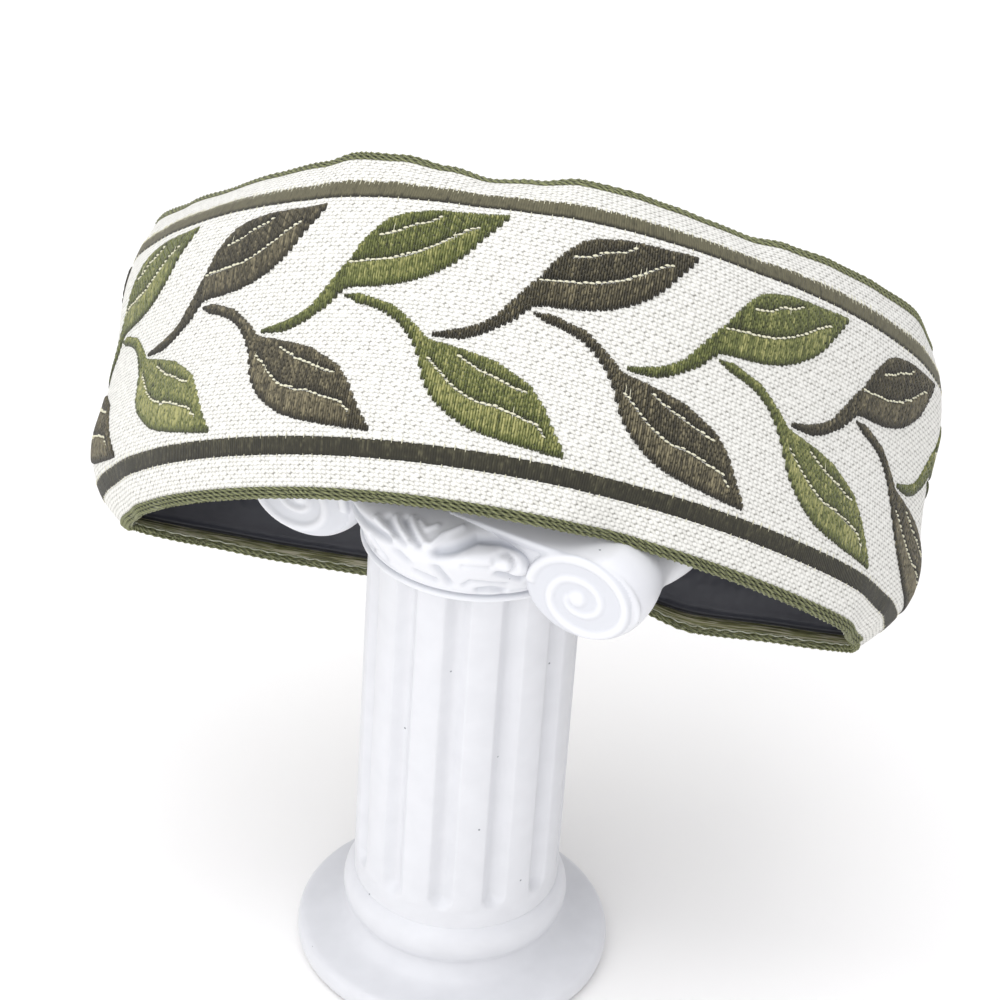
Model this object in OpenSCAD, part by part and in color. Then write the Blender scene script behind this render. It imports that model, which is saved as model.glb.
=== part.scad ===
// Wide headband of woven leaf ribbon with a dark lining, hung over a small fluted column.
// Origin: middle of the column's flat underside. +Z is up, the front of the band looks to -Y.

/* [Ribbon] */
// Width of the woven ribbon, edge to edge
ribbon_w = 60; // [58:1:62]
// Thickness of the ribbon
ribbon_t = 1; // [1:0.1:1.2]
// How far the lining stops short of each edge of the ribbon
lining_inset = 4; // [3.5:0.5:5]
// Thickness of the lining
lining_t = 1; // [1:0.1:1.1]
// Gap between ribbon and lining
cloth_gap = 0.35; // [0.3:0.05:0.4]

/* [Ring seen from above] */
// Bend radius at the middle of the front
front_r = 64; // [63:0.5:65]
// Angle that the front bend turns through to each side of the middle
front_sweep = 29.5; // [29:0.5:30]
// Bend radius of each side
side_r = 84; // [83:0.5:85]
// Angle that each side turns through
side_sweep = 44; // [43.5:0.5:44.5]
// Bend radius of each back corner
corner_r = 9; // [8.5:0.5:10]

/* [Section of the band] */
// Share of the half width that lies nearly flat before the margin curls
flat_share = 0.32; // [0.3:0.01:0.34]
// Lean that the hollow middle would reach at the edges, in degrees
waist_lean = 23; // [21:1:25]
// Angle through which the upper margin curls inward
top_curl = 60; // [56:1:62]
// Angle through which the lower margin curls inward
low_curl = 54; // [52:1:56]

/* [Place of the band on the column] */
// Middle of the front of the band
band_place = [2.42, -2.35, 124.35];
// Lean of the ring about X, Y and Z in degrees
band_turn = [-49.01, 2.05, -6.21];

/* [Leaf pattern] */
// Distance from one pair of leaves to the next
leaf_pitch = 31.05; // [31:0.05:31.1]
// Shift of the pattern along the ribbon
leaf_shift = 3.2; // [3:0.1:3.4]
// How far the woven floats stand proud of the ribbon
float_t = 0.4; // [0.3:0.05:0.5]
// Inner and outer edge of the brown line, from the nearer edge of the ribbon
stripe_span = [6.9, 9.8];

/* [Column] */
// Radius of the foot disc
foot_r = 27; // [26.5:0.5:28]
// Thickness of the foot disc
foot_t = 4; // [3.5:0.5:4.5]
// Radius of the ring at the foot of the shaft
ring_r = 18.8; // [18.6:0.1:19]
// Height at which the shaft begins
ring_top = 13; // [12.5:0.5:13.5]
// Radius of the shaft
shaft_r = 17.7; // [17.6:0.1:17.8]
// Height at which the capital begins
capital_low = 84.4; // [84:0.1:85]
// Height of the capital's flat top
capital_top = 97.5; // [97:0.1:97.6]
// Number of flutes round the shaft
flutes = 12; // [10:1:14]
// Turn of the first flute about the shaft
flute_turn = 263; // [255:1:285]
// Turn of the capital about the shaft
capital_turn = -27.2; // [-29:0.1:-25]
// Distance of each scroll from the middle of the capital
scroll_at = 25.5; // [25:0.1:26]
// Height of the middle of the scrolls
scroll_mid = 90; // [89.8:0.1:90.1]
// Half depth of the capital, front face to back face
capital_half = 14; // [13.5:0.5:14.5]
// Half width and half height of a scroll's face
scroll_half = [9.7, 7.7];

/* [Hidden] */
$fn = 96;
half_w = ribbon_w / 2;
seam_gap = 0.3;
float_gap = 0.35;

// Extra inward curl of the upper margin, which gives its ripples: place along the front, degrees
top_ripple = [
    [-96, -10], [-80, 2], [-66, 8], [-52, 5], [-40, 0], [-32, -9], [-24, -4],
    [-16, 9], [-8, 20], [0, 15], [8, 4], [16, 5], [24, 9], [32, 12], [40, 13],
    [48, 3], [58, -4], [70, -9], [82, -14], [96, -6]];
// Extra inward curl of the lower margin, tucked in at the corners and the back: place, degrees
low_ripple = [
    [-176, 36], [-155, 26], [-140, 26], [-125, 30], [-110, 35], [-98, 32], [-86, 24],
    [-72, 6], [-60, 0], [14, 0], [24, 15], [34, 3], [46, -2], [72, -15], [86, 12],
    [98, 42], [110, 28], [125, 25], [140, 20], [155, 45], [176, 36]];
// Stretches of half the ring with their station spacing: from, to, step
stretches = [[0, 91, 6.5], [94.5, 117, 2.5], [124, 169, 15]];
// Heights on the ribbon at which its section is taken
ribbon_rows = [0, 4, 8, 12, 16, 20.4, 27, 33, 39.6, 44, 48, 52, 56, 60];
lining_share = [0, 0.09, 0.18, 0.28, 0.5, 0.72, 0.82, 0.91, 1];
// Upper leaf with its stalk: place along the ribbon, lower edge, upper edge
upper_leaf = [
    [-30.3, 27.4, 28.2], [-26, 27.4, 29.2], [-22, 28.8, 31.2], [-18.5, 31, 35],
    [-15.5, 34.3, 38.9], [-12.5, 34.8, 43.7], [-9, 35.1, 46.8], [-4.5, 36, 48.1],
    [0, 37.8, 48.6], [4.5, 41.4, 48.8], [9.8, 48.6, 49.3]];
// Lower leaf with its stalk, in the same columns
lower_leaf = [
    [-14.9, 33, 33.6], [-11.5, 32, 33.8], [-7.5, 30.7, 32.6], [-4, 28.2, 30.6],
    [-1, 24, 28.3], [1.5, 18.6, 26.9], [5.5, 14.8, 26.2], [10, 12.7, 25.2],
    [15, 11.8, 23.1], [20, 11.3, 18.4], [24.5, 10.9, 11.8]];

function rad(a) = a * PI / 180;
function clamp(x) = min(1, max(0, x));
function ease(x) = x * x * (3 - 2 * x);
// Value of a table at x, eased from row to row
function eased(x, rows, i = 0) =
    i == 0 ? rows[0][1] + eased(x, rows, 1)
    : i == len(rows) ? 0
    : (rows[i][1] - rows[i - 1][1]) * ease(clamp((x - rows[i - 1][0]) / (rows[i][0] - rows[i - 1][0])))
        + eased(x, rows, i + 1);

// Plan of the ring: how far the tangent has turned at a distance s from the middle of the front
run_1 = front_r * rad(front_sweep);
run_2 = run_1 + side_r * rad(side_sweep);
run_3 = run_2 + corner_r * rad(180 - front_sweep - side_sweep);
turns = [[0, 0], [run_1, front_sweep], [run_2, front_sweep + side_sweep], [run_3, 180]];
function hard_turn(s) = sign(s) * lookup(abs(s), turns);
function turn(s) = (hard_turn(s - 3.6) + hard_turn(s - 1.2) + hard_turn(s + 1.2) + hard_turn(s + 3.6)) / 4;
step = 0.5;
steps = ceil((run_3 + 5) / step);
// Plan points every half millimetre round to the end of the corner
plan = [for (i = 0, p = [0, 0]; i <= steps;
    p = p + step * [cos(turn((i + 0.5) * step)), sin(turn((i + 0.5) * step))], i = i + 1) p];
half_ring = steps * step + plan[steps].x;
function plan_half(s) =
    let(i = min(steps - 1, floor(s / step)), f = s / step - i)
    s >= steps * step ? [plan[steps].x - (s - steps * step), plan[steps].y]
    : plan[i] + f * (plan[i + 1] - plan[i]);
function plan_at(s) = s < 0 ? let(p = plan_half(-s)) [-p.x, p.y] : plan_half(s);

// Section of the band from mid height to a share q of the half width: rise, depth inward, lean
rise_flat = half_w * sin(waist_lean * flat_share) / rad(waist_lean);
depth_flat = -half_w * (1 - cos(waist_lean * flat_share)) / rad(waist_lean);
lean_flat = -waist_lean * flat_share;
function margin(q, curl) =
    let(rate = curl / (1 - flat_share) - waist_lean, lean = lean_flat + rate * (q - flat_share))
    q <= flat_share
    ? [half_w * sin(waist_lean * q) / rad(waist_lean),
        -half_w * (1 - cos(waist_lean * q)) / rad(waist_lean), -waist_lean * q]
    : [rise_flat + half_w * (sin(lean) - sin(lean_flat)) / rad(rate),
        depth_flat + half_w * (cos(lean_flat) - cos(lean)) / rad(rate), lean];
// Point of the band at distance s along it, height v on the cloth, depth d under its face
function on_band(s, v, d = 0) =
    let(
        up = v >= half_w,
        curl = up ? top_curl + eased(s, top_ripple) : low_curl + eased(s, low_ripple),
        m = margin(abs(v - half_w) / half_w, curl),
        side = up ? 1 : -1,
        z = side * (m[0] - sin(m[2]) * d),
        n = m[1] + cos(m[2]) * d,
        p = plan_at(s),
        a = abs(s) >= steps * step ? sign(s) * 180 : turn(s))
    [p.x - sin(a) * n, p.y + cos(a) * n, z];

half_stations = [for (r = stretches) each [for (s = [r[0] : r[2] : r[1]]) s]];
stations = concat([for (i = [len(half_stations) - 1 : -1 : 1]) -half_stations[i]],
    half_stations, [half_ring]);

module band_frame() {
    translate(band_place) rotate(band_turn) children();
}

// Closed wall round the whole ring between two depths, with rows from lower to upper edge
module band_wall(rows, near, far) {
    section = concat([for (v = rows) [v, near]], [for (i = [len(rows) - 1 : -1 : 0]) [rows[i], far]]);
    n = len(section);
    m = len(stations);
    points = [for (s = stations) for (c = section) on_band(s, c[0], c[1])];
    faces = [for (i = [0 : m - 1]) for (j = [0 : n - 1])
        let(a = i * n + j, b = i * n + (j + 1) % n, k = ((i + 1) % m) * n)
        each [[a, b, k + j], [b, k + (j + 1) % n, k + j]]];
    band_frame() polyhedron(points, faces, convexity = 8);
}

function bends_at(s) = abs(s) > run_2 - 2 && abs(s) < run_3 + 2;

// Thin pad over the face of the ribbon between two edges that change along it
module leaf_pad(rows, at) {
    across = [0, 0.33, 0.67, 1];
    // A row is put between two others where the ribbon bends round a back corner
    close = [for (i = [0 : len(rows) - 1]) each
        i > 0 && bends_at((rows[i][0] + rows[i - 1][0]) / 2 + at)
        ? [(rows[i] + rows[i - 1]) / 2, rows[i]] : [rows[i]]];
    kept = [for (r = close) if (abs(r[0] + at) < half_ring - seam_gap) r];
    n = 2 * len(across);
    m = len(kept);
    points = [for (r = kept) for (j = [0 : n - 1])
        let(outer = j < len(across), f = across[outer ? j : n - 1 - j])
        on_band(r[0] + at, r[1] + f * (r[2] - r[1]), -float_gap - (outer ? float_t : 0))];
    sides = [for (i = [0 : m - 2]) for (j = [0 : n - 1])
        let(a = i * n + j, b = i * n + (j + 1) % n)
        each [[a, b, a + n], [b, b + n, a + n]]];
    start = [for (j = [0 : len(across) - 2]) each
        [[j, n - 2 - j, j + 1], [j, n - 1 - j, n - 2 - j]]];
    end = [for (f = start) [for (k = [2 : -1 : 0]) f[k] + (m - 1) * n]];
    if (m > 1) band_frame() polyhedron(points, concat(sides, start, end), convexity = 6);
}

module leaf_pairs(first) {
    for (k = [first : 2 : 8]) {
        leaf_pad(upper_leaf, (k - 2.5) * leaf_pitch + leaf_shift);
        leaf_pad(lower_leaf, (k - 2.5) * leaf_pitch + leaf_shift);
    }
}

module ribbon() {
    color("ivory") band_wall([for (v = ribbon_rows) v * ribbon_w / 60], 0, ribbon_t);
}

module lining() {
    span = ribbon_w - 2 * lining_inset;
    near = ribbon_t + cloth_gap;
    color("midnightblue") band_wall([for (q = lining_share) lining_inset + q * span], near, near + lining_t);
}

module stripes() {
    color("darkolivegreen") {
        band_wall(stripe_span, -float_gap - float_t, -float_gap);
        band_wall([ribbon_w - stripe_span[1], ribbon_w - stripe_span[0]], -float_gap - float_t, -float_gap);
    }
}

module green_leaves() {
    color("olivedrab") leaf_pairs(-2);
}

module brown_leaves() {
    color("saddlebrown") leaf_pairs(-3);
}

// Round foot: a thick disc, a hollow curve up to the ring and the ring itself
module column_base() {
    edge = 1.5;
    ring_h = 5;
    color("whitesmoke") rotate_extrude() difference() {
        union() {
            square([foot_r - edge, foot_t]);
            translate([0, edge]) square([foot_r, foot_t - 2 * edge]);
            translate([foot_r - edge, edge]) circle(edge);
            translate([foot_r - edge, foot_t - edge]) circle(edge);
            square([ring_r + 1, ring_top - ring_h]);
            square([ring_r - ring_h / 2, ring_top]);
            translate([ring_r - ring_h / 2, ring_top - ring_h / 2]) circle(ring_h / 2);
        }
        translate([-foot_r, -1]) square([foot_r, ring_top + 2]);
        translate([ring_r + 4, ring_top - ring_h]) circle(4);
    }
}

// Shaft with round-ended flutes
module column_shaft() {
    flute_r = 2;
    flute_deep = 0.8;
    flute_low = ring_top + 7;
    color("white") difference() {
        translate([0, 0, ring_top]) cylinder(r = shaft_r, h = capital_low - ring_top);
        for (i = [0 : flutes - 1]) {
            rotate(i * 360 / flutes + flute_turn) translate([shaft_r + flute_r - flute_deep, 0, flute_low]) {
                cylinder(r = flute_r, h = capital_low);
                sphere(r = flute_r);
            }
        }
    }
}

// One scroll roll: front and back face with a waist between them
module scroll_roll() {
    // Place from the front face to the back face as a share, size as a share of the face
    sections = [[0, 0.94], [0.04, 1.02], [0.14, 1.06], [0.3, 0.95], [0.5, 0.86],
        [0.7, 0.95], [0.86, 1.06], [0.96, 1.02], [1, 0.94]];
    sides = 18;
    points = [for (s = sections) for (j = [0 : sides - 1])
        [scroll_half.x * s[1] * cos(j * 360 / sides), (2 * s[0] - 1) * capital_half,
            scroll_half.y * s[1] * sin(j * 360 / sides)]];
    m = len(sections);
    walls = [for (i = [0 : m - 2]) for (j = [0 : sides - 1])
        let(a = i * sides + j, b = i * sides + (j + 1) % sides)
        each [[a, b, a + sides], [b, b + sides, a + sides]]];
    front = [[for (j = [0 : sides - 1]) sides - 1 - j]];
    back = [[for (j = [0 : sides - 1]) (m - 1) * sides + j]];
    polyhedron(points, concat(walls, front, back), convexity = 4);
}

// Raised spiral of a scroll's face, as an outline that winds in and comes back
module scroll_spiral() {
    // Turns wound from the outer side over the top, and reach as a share of the face
    winding = [[0, 0.93], [0.5, 0.93], [0.75, 0.86], [1, 0.5], [1.5, 0.47], [1.75, 0.42], [2, 0.24]];
    steps_in = 40;
    rib_w = 0.12;
    rib_h = 1.1;
    eye_r = 1.5;
    function ray(i, w) =
        let(t = 2 * i / steps_in, reach = lookup(t, winding) - w * rib_w)
        [-scroll_half.x * reach * cos(t * 360), scroll_half.y * reach * sin(t * 360)];
    rotate([90, 0, 0]) {
        linear_extrude(height = rib_h) polygon(concat(
            [for (i = [0 : steps_in]) ray(i, 0)], [for (i = [steps_in : -1 : 0]) ray(i, 1)]));
        cylinder(r = eye_r, h = rib_h);
    }
}

// Raised relief leaf on the bowl: a pointed ridge along Z
module relief_leaf(length, width, height) {
    rows = [[0, 0.35], [0.35, 1], [0.7, 0.8], [1, 0.15]];
    points = [for (r = rows) each [[-width / 2 * r[1], 0, length * r[0]], [0, -height * r[1], length * r[0]],
        [width / 2 * r[1], 0, length * r[0]], [0, height, length * r[0]]]];
    m = len(rows);
    walls = [for (i = [0 : m - 2]) for (j = [0 : 3])
        let(a = i * 4 + j, b = i * 4 + (j + 1) % 4)
        each [[a, a + 4, b], [b, a + 4, b + 4]]];
    polyhedron(points, concat(walls, [[0, 1, 2, 3]], [[for (j = [3 : -1 : 0]) (m - 1) * 4 + j]]), convexity = 3);
}

// Capital: a bowl on the shaft, a flat slab over it and two scroll rolls with their spirals
module column_capital() {
    slab_low = scroll_mid + 1;
    bowl_r = 21.2;
    collar_r = 18.9;
    leaf_step = 16;
    leaf_lean = 14;
    color("white") {
        rotate_extrude() polygon([[0, capital_low], [collar_r - 0.6, capital_low],
            [collar_r, capital_low + 0.5], [collar_r, capital_low + 1], [collar_r - 0.5, capital_low + 1.6],
            [collar_r + 1, capital_low + 3], [bowl_r - 0.3, capital_low + 6], [bowl_r, slab_low + 1.5],
            [bowl_r - 1.5, slab_low + 3], [0, slab_low + 3]]);
        rotate(capital_turn) {
            translate([-scroll_at, -capital_half, slab_low])
                cube([2 * scroll_at, 2 * capital_half, capital_top - slab_low]);
            for (side = [-1, 1]) {
                intersection() {
                    translate([side * scroll_at, 0, scroll_mid]) scroll_roll();
                    translate([-50, -50, 0]) cube([100, 100, capital_top]);
                }
                for (face = [0, 180]) {
                    rotate(face) translate([side * scroll_at, -capital_half + seam_gap, scroll_mid])
                        mirror([side < 0 ? 1 : 0, 0, 0]) scroll_spiral();
                }
            }
            for (face = [0, 180]) {
                rotate(face) for (i = [-3 : 3]) {
                    rotate(i * leaf_step) translate([0, -collar_r, capital_low + 2]) rotate([leaf_lean, 0, 0])
                        relief_leaf(7, 4, 1.2);
                }
            }
        }
    }
}

ribbon();
lining();
stripes();
green_leaves();
brown_leaves();
column_base();
column_shaft();
column_capital();
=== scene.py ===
import math

import bmesh
import bpy
import numpy as np
from mathutils import Matrix, Vector


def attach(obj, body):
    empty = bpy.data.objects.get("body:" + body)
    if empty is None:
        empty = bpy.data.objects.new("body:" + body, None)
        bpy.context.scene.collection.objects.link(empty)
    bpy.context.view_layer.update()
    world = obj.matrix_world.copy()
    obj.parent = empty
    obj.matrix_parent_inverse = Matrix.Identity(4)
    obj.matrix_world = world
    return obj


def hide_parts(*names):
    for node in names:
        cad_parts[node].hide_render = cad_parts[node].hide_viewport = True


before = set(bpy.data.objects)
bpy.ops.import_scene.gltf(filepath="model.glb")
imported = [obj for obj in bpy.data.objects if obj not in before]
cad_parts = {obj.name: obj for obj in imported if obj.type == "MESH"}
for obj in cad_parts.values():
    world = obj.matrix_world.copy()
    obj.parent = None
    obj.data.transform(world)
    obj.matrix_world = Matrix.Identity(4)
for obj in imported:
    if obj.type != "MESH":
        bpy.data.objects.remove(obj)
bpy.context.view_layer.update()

scene = bpy.context.scene

# Foot of the stand: a thick round disc, a hollow curve and a round ring, cast in one with the
# column in white resin from a soft mould, so every edge is a little rounded. It stands by its
# own weight and carries all the rest.
MM = 0.001
FOOT_SIDES = 128
FOOT_PROFILE = [  # radius, height in mm
    (0, 0), (26.0, 0), (27.0, 0.6), (27.0, 3.2), (26.2, 4.1), (24.0, 4.3), (21.3, 4.6), (19.2, 5.4),
    (18.0, 7.0), (17.8, 8.3), (18.7, 9.3), (19.3, 10.9), (19.35, 12.5), (19.0, 13.9), (18.1, 15.1),
    (17.3, 15.8), (0, 15.8)]


def linear(code):
    """Linear colour of an sRGB hex code."""
    parts = [int(code[i:i + 2], 16) / 255 for i in (0, 2, 4)]
    return [c / 12.92 if c <= 0.04045 else ((c + 0.055) / 1.055) ** 2.4 for c in parts] + [1.0]


def add_node(tree, kind, sockets=None, stops=(), **settings):
    """Adds a node with its own settings. Each socket gets a value, or an output linked to it, and
    each stop of a colour ramp its place and its sRGB hex code."""
    made = tree.nodes.new(kind)
    for name, value in settings.items():
        setattr(made, name, value)
    for name, value in (sockets or {}).items():
        if isinstance(value, bpy.types.NodeSocket):
            tree.links.new(value, made.inputs[name])
        else:
            made.inputs[name].default_value = value
    for number, (place, code) in enumerate(stops):
        ramp = made.color_ramp
        stop = ramp.elements[number] if number < 2 else ramp.elements.new(place)
        stop.position = place
        stop.color = linear(code)
    return made


def new_material(name, colour, roughness, **sockets):
    """A material with its shader's own colour and roughness set; returns it, its tree and shader."""
    made = bpy.data.materials.new(name)
    made.use_nodes = True
    shader = made.node_tree.nodes["Principled BSDF"]
    shader.inputs["Base Color"].default_value = linear(colour)
    shader.inputs["Roughness"].default_value = roughness
    for key, value in sockets.items():
        shader.inputs[key.replace("_", " ")].default_value = value
    return made, made.node_tree, shader


# Cast white resin: smooth and slightly glossy, with the faint waves that a soft mould leaves and a
# few grey pinholes. Light slides over it softly, and its white hardly changes from place to place.
WAVE_LONG, DIMPLE_WIDE, PINHOLE_GAP, PINHOLE_R = 4.0, 0.5, 6.0, 0.2  # mm
resin, tree, shader = new_material("cast_white_resin", "DBDCDF", 0.36, IOR=1.5)
place = add_node(tree, "ShaderNodeTexCoord").outputs["Object"]
waves = add_node(tree, "ShaderNodeTexNoise", {
    "Vector": place, "Scale": 1 / (WAVE_LONG * MM), "Detail": 2.0})
dimples = add_node(tree, "ShaderNodeTexNoise", {
    "Vector": place, "Scale": 1 / (DIMPLE_WIDE * MM), "Detail": 1.0})
soft = add_node(tree, "ShaderNodeBump", {
    "Height": waves.outputs["Fac"], "Strength": 0.3, "Distance": 0.1 * MM})
fine = add_node(tree, "ShaderNodeBump", {
    "Height": dimples.outputs["Fac"], "Strength": 0.12, "Distance": 0.04 * MM,
    "Normal": soft.outputs["Normal"]})
tree.links.new(fine.outputs["Normal"], shader.inputs["Normal"])
shade = add_node(tree, "ShaderNodeValToRGB", {"Fac": waves.outputs["Fac"]},
                 stops=[(0.3, "D9DADD"), (0.7, "DDDEE1")])
pores = add_node(tree, "ShaderNodeTexVoronoi", {"Vector": place, "Scale": 1 / (PINHOLE_GAP * MM)})
pinhole = add_node(tree, "ShaderNodeMath", {
    0: pores.outputs["Distance"], 1: PINHOLE_R / PINHOLE_GAP}, operation="LESS_THAN")
specked = add_node(tree, "ShaderNodeMixRGB", {
    "Fac": pinhole.outputs[0], "Color1": shade.outputs["Color"], "Color2": linear("8C8F94")},
    name="pinholes")
tree.links.new(specked.outputs["Color"], shader.inputs["Base Color"])

# Capital resin: the same casting where it is carved. Bluish grey is painted into its hollows as painted
# shade, and from the tone below up it is painted a little whiter than the shaft, as painted light
# against the ribbon's shadow.
CAST_TONE = 0.6
shaded_capital_resin = resin.copy()
shaded_capital_resin.name = "white_resin_painted_shade"
tree = shaded_capital_resin.node_tree
shade_tone = add_node(tree, "ShaderNodeAttribute", attribute_name="tone").outputs["Fac"]
# The ramp paints shade: bluish grey at a low tone, rising to the plain cast white at CAST_TONE and
# above.
hollow_shade = add_node(tree, "ShaderNodeValToRGB", {"Fac": shade_tone},
                stops=[(0.0, "BFC2C9"), (CAST_TONE, "E4E5E8")])
tree.links.new(hollow_shade.outputs["Color"], tree.nodes["pinholes"].inputs["Color1"])


def new_piece(name, points, faces, materials, replaced=()):
    """A smooth-shaded piece from points in metres, riding on the object's one body."""
    mesh = bpy.data.meshes.new(name)
    mesh.from_pydata([tuple(p) for p in points], [], [tuple(f) for f in faces])
    mesh.update()
    mesh.polygons.foreach_set("use_smooth", [True] * len(mesh.polygons))
    for material in materials:
        mesh.materials.append(material)
    piece = bpy.data.objects.new(name, mesh)
    scene.collection.objects.link(piece)
    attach(piece, "root")
    if replaced:
        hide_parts(*replaced)
    return piece


def rounded(outline, passes):
    """An open outline whose corners are cut at a quarter of each side, again and again."""
    for _ in range(passes):
        cut = [outline[0]]
        for a, b in zip(outline, outline[1:]):
            cut.append(tuple(0.75 * p + 0.25 * q for p, q in zip(a, b)))
            cut.append(tuple(0.25 * p + 0.75 * q for p, q in zip(a, b)))
        outline = cut + [outline[-1]]
    return outline


def turned(profile, sides):
    """Points and faces of a profile of radius and height, turned about Z."""
    points, rings = [], []
    for radius, height in profile:
        if radius < 1e-6:
            rings.append([len(points)] * sides)
            points.append((0, 0, height * MM))
            continue
        rings.append(list(range(len(points), len(points) + sides)))
        for i in range(sides):
            a = 2 * math.pi * i / sides
            points.append((radius * MM * math.cos(a), radius * MM * math.sin(a), height * MM))
    faces = []
    for low, high in zip(rings, rings[1:]):
        for i in range(sides):
            j = (i + 1) % sides
            corners = [low[i], low[j], high[j], high[i]]
            face = [c for k, c in enumerate(corners) if c not in corners[:k]]
            if len(face) > 2:
                faces.append(face)
    return points, faces


points, faces = turned(rounded(FOOT_PROFILE, 2), FOOT_SIDES)
new_piece("column_foot", points, faces, [resin], ["column_base"])

# Shaft of the stand, cast with the foot: a plain round stem with narrow soft grooves, which end
# in a round hollow above the foot and run up under the capital. The grooves catch the shade.
SHAFT_R, SHAFT_LOW, SHAFT_TOP = 17.7, 13.0, 84.4
FLUTES, FLUTE_TURN, FLUTE_SIDES = 12, 263, 36  # number, degrees to one of them, points for each
FLUTE_HALF, FLUTE_DEEP, FLUTE_LOW, FLUTE_ROUND = 2.2, 1.45, 19.3, 1.1
FINE_TOP, FINE_STEP = 23.5, 0.4  # rings lie this close up to here, for the grooves' round ends
SWELL_OUT, SWELL_TOP, SWELL_HIGH = 1.1, 15.5, 2.5  # the stem widens where it meets the foot
CROWN = 0.12  # each face between two grooves bulges by this
around = FLUTES * FLUTE_SIDES
heights = np.concatenate([
    np.arange(SHAFT_LOW, FINE_TOP, FINE_STEP), np.linspace(FINE_TOP + 0.5, SHAFT_TOP, 8)])
angle, height = np.meshgrid(np.arange(around) * 2 * math.pi / around, heights)
spacing = 2 * math.pi / FLUTES
off = (angle - math.radians(FLUTE_TURN) + spacing / 2) % spacing - spacing / 2
from_groove = np.hypot(off * SHAFT_R, np.minimum(height - FLUTE_LOW - FLUTE_HALF, 0))
dent = np.cos(np.clip(from_groove / FLUTE_HALF, 0, 1) * math.pi / 2) ** FLUTE_ROUND
swell = SWELL_OUT * np.clip((SWELL_TOP - height) / SWELL_HIGH, 0, 1) ** 2
crown = CROWN * np.cos(off / spacing * 2 * math.pi)
radius = SHAFT_R - CROWN + swell - crown * (height > FLUTE_LOW) - FLUTE_DEEP * dent
points = np.stack([radius * np.cos(angle), radius * np.sin(angle), height], -1).reshape(-1, 3) * MM


def grid_faces(rows, columns, round_columns=False):
    """Quads of a grid of points counted row by row, closed round its columns if asked."""
    row, column = np.meshgrid(
        np.arange(rows - 1), np.arange(columns - (not round_columns)), indexing="ij")
    after = (column + 1) % columns
    quads = [row * columns + column, row * columns + after,
             (row + 1) * columns + after, (row + 1) * columns + column]
    return np.stack(quads, -1).reshape(-1, 4)


faces = grid_faces(len(heights), around, True)
new_piece("column_shaft_fluted", points, faces, [resin], ["column_shaft"])

# Capital, cast with the shaft: a bowl with worn leaf carving, a flat slab, and a waisted roll at
# each side that shows a wound scroll on its two faces. It is one soft-edged casting, so its parts
# are melted together.
CAPITAL_TURN = math.radians(-27.2)
SCROLL_AT, SCROLL_MID, CAPITAL_HALF = 25.5, 90.0, 14.0
SCROLL_WIDE, SCROLL_HIGH, CAPITAL_TOP, ROLL_SIDES = 9.7, 7.7, 97.4, 48
ROLL = [  # share of the depth from front to back, size as a share of the face
    (0, 0.93), (0.03, 1.0), (0.12, 1.07), (0.28, 1.05), (0.5, 0.88), (0.72, 1.05), (0.88, 1.07),
    (0.97, 1.0), (1, 0.93)]
WINDING = [  # turns from the outer side over the top, reach as a share of the face
    (0, 0.87), (0.25, 0.9), (0.5, 0.87), (0.72, 0.83), (1.0, 0.46), (1.25, 0.44), (1.5, 0.42),
    (1.75, 0.38), (2.0, 0.17)]
WOUND_CORD = [(0, 0.85), (1, 0.72), (1.8, 0.6), (2, 0.45)]  # turns, radius of the cord in mm
EYE = [(-1.0, 1.7), (0.3, 1.35), (0.65, 0.7)]  # forward of the face, radius in mm
RIB_POINTS = [(0, 0.75), (20, 0.7), (35, 0.3)]  # number of a point along the rib, radius in mm
RIB_TOP, RIB_BACK, RIB_AWAY = 96.7, 0.5, 0.05  # the rib runs along the slab and down the scroll
# The scrolls' flat ground between the wound cords gets a grey tone as painted shade.
FACE_SHADE_TONE = 0.34  # tone of the scrolls' flat ground
FACE_SKIN, CORD_FOOT, CORD_RISE = 0.35, 0.05, 0.4  # mm behind and before the face's own plane
MELT_SIZE = 0.36
BOWL = [  # radius, height in mm, from the thin collar to where the bowl meets the slab
    (17.4, 84.1), (18.4, 84.1), (18.9, 84.5), (18.8, 85.3), (18.5, 86.0), (19.2, 87.6),
    (20.6, 90.0), (21.6, 92.2), (21.2, 94.2), (18.6, 95.9), (14.8, 96.9), (12.5, 97.1)]
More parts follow.
